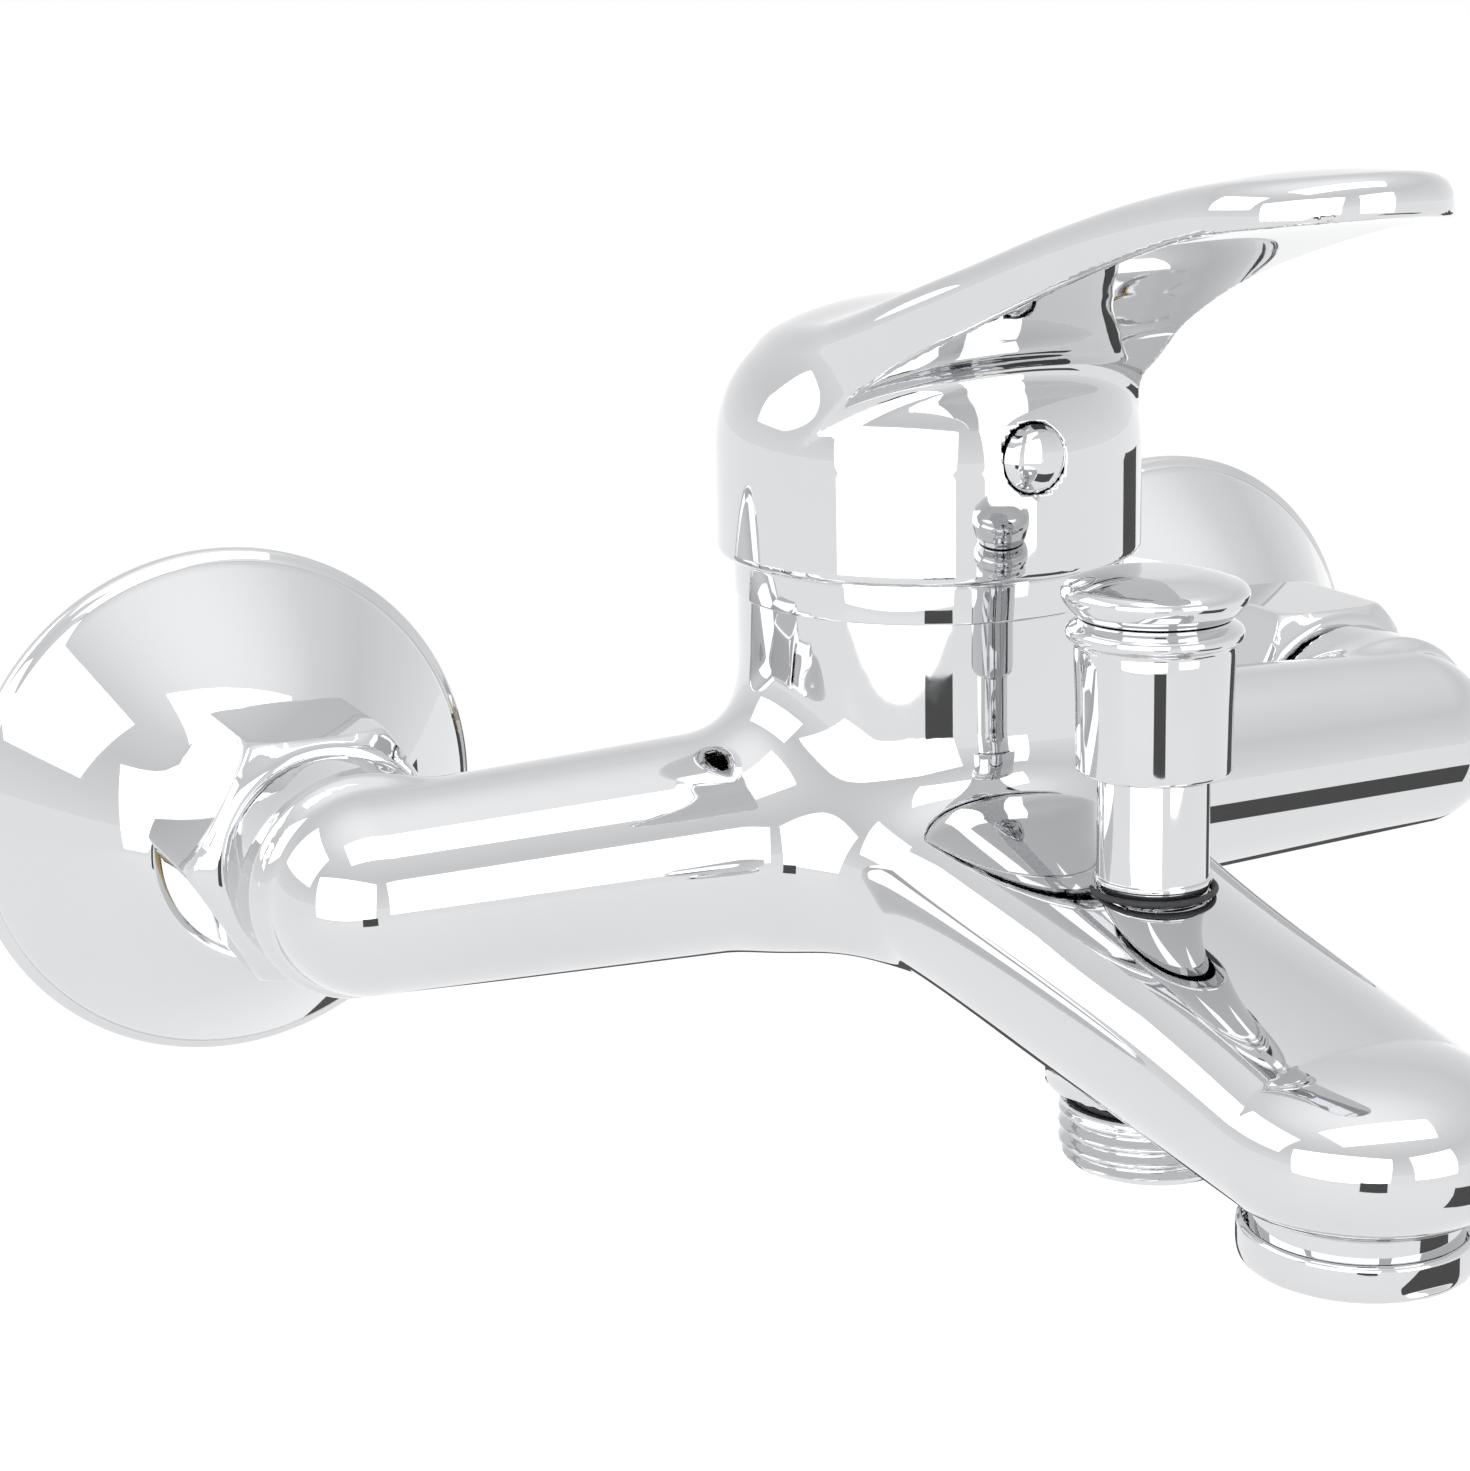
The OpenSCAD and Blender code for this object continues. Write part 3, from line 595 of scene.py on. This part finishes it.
def rosette(side):
    """A wall rosette: a thin rim band against the wall, then one smooth dome up to the nut."""
    node = side + "_rosette"
    foot = Vector((centre(node).x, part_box(node)[1].y, centre(node).z))
    r, depth = size(node).x / 2 / MM, size(node).y / MM
    mouth_r, band, wall = 16.0, 2.4, 1.2
    rim = rounded([(r - wall, 0, 0), (r, 0, 0.2), (r, 1.7, 0.8), (r - 1.1, band, 0.3),
                   (r - 1.5, band + 0.4, 0)])
    t = np.linspace(0.03, 1, 24)
    dome_r = r - 1 + (mouth_r - r + 1) * t
    dome_h = band + (depth - band) * (1 - (1 - t) ** 1.25)
    outside = np.stack([dome_r, dome_h], 1)
    lip = np.array([(mouth_r - 0.4, depth), (mouth_r - wall, depth - 0.3)])
    inside = np.stack([dome_r - wall, dome_h - wall], 1)[::-1]
    profile = np.concatenate([rim, outside, lip, inside])
    dress(lathe(node + "_turned", profile, foot, out_of_wall, 160), "chrome", "mixer", node)


def eccentric_union(side):
    """The brass union behind the rosette: a pipe thread, an offset neck and the nut's thread."""
    node = side + "_eccentric_union"
    low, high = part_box(node)
    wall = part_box(side + "_rosette")[1]
    foot = Vector((centre(node).x, wall.y, centre(side + "_rosette").z))
    rise = arm_z - foot.z
    behind, front = (wall.y - high.y) / MM, (wall.y - low.y) / MM
    bore, neck_start, front_start = 6.5, 4.8, 24.5
    relief_r, neck_r, nose_r = 9.2, 12.0, 13.15
    thread = threaded_tube(node + "_thread", foot, PIPE_R, bore, behind, 4.0, PIPE_PITCH, PIPE_DEPTH,
                           out_of_wall)
    dress(thread, "brass", "mixer", node)
    neck = rounded([(bore, 3.6, 0), (relief_r, 3.6, 0), (relief_r, neck_start, 0),
                    (neck_r, neck_start, 0.8), (neck_r, front_start + 0.3, 0.4),
                    (bore, front_start + 0.3, 0)])
    neck_foot = foot + Vector((0, 0, rise / 2))
    dress(lathe(node + "_neck", neck, neck_foot, out_of_wall), "brass", "mixer")
    nose_foot = foot + Vector((0, 0, rise))
    nose = threaded_tube(node + "_nose", nose_foot, nose_r, bore, front_start, front, 1.8, 0.9,
                         out_of_wall)
    dress(nose, "brass", "mixer")


def union_nut(side):
    """A hexagon nut with turned chamfers and softened corners."""
    node = side + "_union_nut"
    foot = Vector((centre(node).x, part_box(node)[1].y, centre(node).z))
    corner_r, tall = size(node).x / 2 / MM, size(node).y / MM
    flats = size(node).z / MM
    around = 192
    angles = np.linspace(0, 2 * math.pi, around, endpoint=False)
    hexagon = flats / 2 / np.cos(np.mod(angles, math.pi / 3) - math.pi / 6)
    cone = rounded([(corner_r - 2.2, 0, 0), (corner_r - 2.0, 0.02, 0.1), (corner_r, 1.2, 0.6),
                    (corner_r, tall - 2.4, 1.6), (corner_r - 2.9, tall - 0.3, 0.9),
                    (corner_r - 3.6, tall, 0)], 8)
    radii = [smooth_min(hexagon, np.full(around, r), 0.35) for r, h in cone]
    heights = [h for r, h in cone]
    lip_r, thread_r = 10.6, 13.2
    for r, h in ((lip_r + 0.1, tall), (lip_r, tall - 2.8), (thread_r, tall - 3), (thread_r, 0)):
        radii.append(np.full(around, r))
        heights.append(h)
    radii = np.array(radii)
    heights = np.repeat(np.array(heights)[:, None], around, 1)
    verts = np.stack([radii * np.cos(angles), radii * np.sin(angles), heights], 2)
    verts = verts.reshape(-1, 3) * MM @ np.array(out_of_wall).T + np.array(foot)
    obj = new_object(node + "_milled", verts, ring_faces(len(radii), around))
    crisp_edges(obj, 40)
    dress(obj, "chrome", "mixer", node)


def tower_ring():
    """The ring under the cap, lapped a little over the top of the casting."""
    foot = Vector((0, body.y, body.z))
    bore, inner_r, outer_r = 21.7, tower_r - 1.2, tower_r + 0.3
    lap_z = tower_top - 1.4
    outline = rounded([(bore, tower_top, 0), (inner_r, tower_top, 0), (inner_r, lap_z, 0),
                       (outer_r, lap_z, 0.3), (outer_r, ring_top - 1.3, 0.8), (inner_r, ring_top, 0.3),
                       (bore, ring_top, 0)])
    dress(lathe("trim_ring_turned", outline, foot, around=192), "chrome", "mixer", "trim_ring")


def diverter_post():
    foot = on_spout(diverter_y)
    bottom, top = heights_of("diverter_bonnet")
    seat = heights_of("bonnet_o_ring")[1]
    bead_r = POST_R + 0.35
    rod_bore, spring_bore, seal_bore, foot_bore = 2.1, 4.4, 3.3, 4.9
    outline = rounded([
        (foot_bore, bottom, 0), (POST_R, bottom, 0.2), (POST_R, seat + 0.5, 0.1),
        (bead_r, seat + 0.6, 0.15), (bead_r, seat + 1.1, 0.15), (POST_R, seat + 1.2, 0.1),
        (POST_R, top, 0.6), (rod_bore, top, 0), (rod_bore, top - 3, 0), (spring_bore, top - 3, 0),
        (spring_bore, 7, 0), (seal_bore, 7, 0), (seal_bore, 5, 0), (foot_bore, 4, 0)])
    dress(lathe("bonnet_turned", outline, foot), "chrome", "mixer", "diverter_bonnet")


def index_disc():
    """A plain domed index button on the front of the cap."""
    low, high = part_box("index_button")
    foot = Vector((0, body.y, body.z + button_z * MM))
    r = size("index_button").x / 2 / MM
    front, back = (body.y - low.y) / MM, (body.y - high.y) / MM
    swell_h, stem_r, stem_l = 1.4, 2.5, 2.4
    edge = front - swell_h
    swell = [(0.93 * r * math.cos(a), edge + swell_h * math.sin(a)) for a in np.linspace(0.25, 1.5, 10)]
    outline = [(0.01, back), (stem_r, back), (stem_r, back + stem_l), (r, back + stem_l),
               (r, edge - 0.15), (r - 0.2, edge + 0.1)]
    profile = np.array(outline + swell + [(0.01, front - 0.01)])
    dress(lathe("index_disc", profile, foot, out_of_wall, 96), "chrome", "lever", "index_button")


castings()
for side in ("left", "right"):
    rosette(side)
    eccentric_union(side)
    union_nut(side)
tower_ring()
diverter_post()
index_disc()
knob()
outlet_thread()
aerator_shell()


# ---------------------------------------------------------------- floor, light and camera

def stage_plane(name, width, depth, place, turn, shade, glow=0.0):
    bm = bmesh.new()
    bmesh.ops.create_grid(bm, x_segments=1, y_segments=1, size=0.5)
    mesh = bpy.data.meshes.new(name)
    bm.to_mesh(mesh)
    bm.free()
    obj = bpy.data.objects.new(name, mesh)
    bpy.context.scene.collection.objects.link(obj)
    obj.scale = (width, depth, 1)
    obj.rotation_euler = turn
    obj.location = place
    mat, tree, shader = material(name + "_paint")
    shader.inputs["Base Color"].default_value = (shade, shade, shade, 1)
    shader.inputs["Roughness"].default_value = 0.9
    shader.inputs["Emission Color"].default_value = (1, 1, 1, 1)
    shader.inputs["Emission Strength"].default_value = glow
    mesh.materials.append(mat)
    return obj


stage_plane("floor", 30, 30, (0, 0, cad_box[0].z - 0.25), (0, 0, 0), 0.86, 0.24)


def studio_world():
    """A pale studio: white where the camera looks, light grey in what the chrome reflects."""
    world = bpy.data.worlds.new("studio")
    bpy.context.scene.world = world
    world.use_nodes = True
    tree = world.node_tree
    coord = tree.nodes.new("ShaderNodeTexCoord")
    split = tree.nodes.new("ShaderNodeSeparateXYZ")
    place = tree.nodes.new("ShaderNodeMapRange")
    place.inputs["From Min"].default_value = -1
    bands = tree.nodes.new("ShaderNodeValToRGB")
    path = tree.nodes.new("ShaderNodeLightPath")
    mix = tree.nodes.new("ShaderNodeMix")
    mix.data_type = "RGBA"
    tree.links.new(coord.outputs["Generated"], split.inputs["Vector"])
    tree.links.new(split.outputs["Z"], place.inputs["Value"])
    tree.links.new(place.outputs["Result"], bands.inputs["Fac"])
    shades = bands.color_ramp.elements
    shades[0].color = (1.0, 1.0, 1.0, 1)
    shades[1].color = (1.3, 1.3, 1.3, 1)
    for height, shade in ((0.48, 1.05), (0.60, 0.95), (0.75, 0.86), (0.88, 0.98)):
        shades.new(height).color = (shade, shade, shade * 1.005, 1)
    tree.links.new(path.outputs["Is Camera Ray"], mix.inputs["Factor"])
    tree.links.new(bands.outputs["Color"], mix.inputs["A"])
    mix.inputs["B"].default_value = (1, 1, 1, 1)
    tree.links.new(mix.outputs["Result"], tree.nodes["Background"].inputs["Color"])


middle = Vector((0, body.y, body.z + 0.01))


def seen_at(azimuth, elevation, distance):
    """A place by its direction from the mixer: azimuth from the front towards +X, both in degrees."""
    a, e = math.radians(azimuth), math.radians(elevation)
    level = Vector((math.sin(a), -math.cos(a), 0))
    return middle + distance * (level * math.cos(e) + Vector((0, 0, math.sin(e))))


def softbox(name, place, width, height, radiance):
    light = bpy.data.lights.new(name, "AREA")
    light.shape = "RECTANGLE"
    light.size, light.size_y = width, height
    light.energy = radiance * math.pi * width * height
    obj = bpy.data.objects.new(name, light)
    bpy.context.scene.collection.objects.link(obj)
    obj.location = place
    obj.rotation_euler = (middle - place).to_track_quat("-Z", "Y").to_euler()
    obj.visible_camera = False
    obj.visible_diffuse = False


def dark_card(name, place, width, height):
    """A nearly black card that only the chrome sees."""
    turn = (middle - place).to_track_quat("Z", "Y").to_euler()
    card = stage_plane(name, width, height, place, turn, 0.05, 0.03)
    card.visible_camera = False
    card.visible_diffuse = False
    card.visible_shadow = False


def studio_lights():
    softbox("main_panel", seen_at(-46, 8, 1.1), 1.40, 0.85, 1.75)
    softbox("right_panel", seen_at(15.5, 8, 1.1), 0.58, 0.70, 1.65)
    softbox("left_panel", seen_at(-112, 30, 1.1), 0.95, 0.65, 1.6)
    softbox("top_panel", seen_at(-5, 66, 1.2), 1.3, 0.6, 1.7)
    dark_card("gap_card", seen_at(-23, -16, 0.7), 0.19, 0.10)
    dark_card("front_card", seen_at(44, -30, 0.5), 0.3, 0.15)
    dark_card("side_card", seen_at(108, -14, 0.6), 0.22, 0.2)
    dark_card("back_card", seen_at(145, -36, 0.42), 0.3, 0.1)


studio_world()
studio_lights()

AZIMUTH = math.radians(-25.3)
ELEVATION = math.radians(10.44)
ROLL = math.radians(-0.91)
DISTANCE = 0.387
image_right = Vector((math.cos(AZIMUTH), math.sin(AZIMUTH), 0))
image_back = Vector((math.sin(AZIMUTH) * math.cos(ELEVATION), -math.cos(AZIMUTH) * math.cos(ELEVATION),
                     math.sin(ELEVATION)))
image_up = image_back.cross(image_right)
aim = Vector((0, -0.060, 0.004)) - 0.02075 * image_right + 0.03626 * image_up

camera = bpy.data.cameras.new("camera")
camera_obj = bpy.data.objects.new("camera", camera)
bpy.context.scene.collection.objects.link(camera_obj)
rotation = Matrix((image_right, image_up, image_back)).transposed() @ Matrix.Rotation(ROLL, 3, "Z")
camera_obj.matrix_world = Matrix.Translation(aim + image_back * DISTANCE) @ rotation.to_4x4()
camera.sensor_width = 36
camera.lens = 73.51
camera.clip_start = 0.01
camera.shift_x = -0.0121
camera.shift_y = -0.1435
bpy.context.scene.camera = camera_obj
bpy.context.scene.view_settings.view_transform = "Standard"
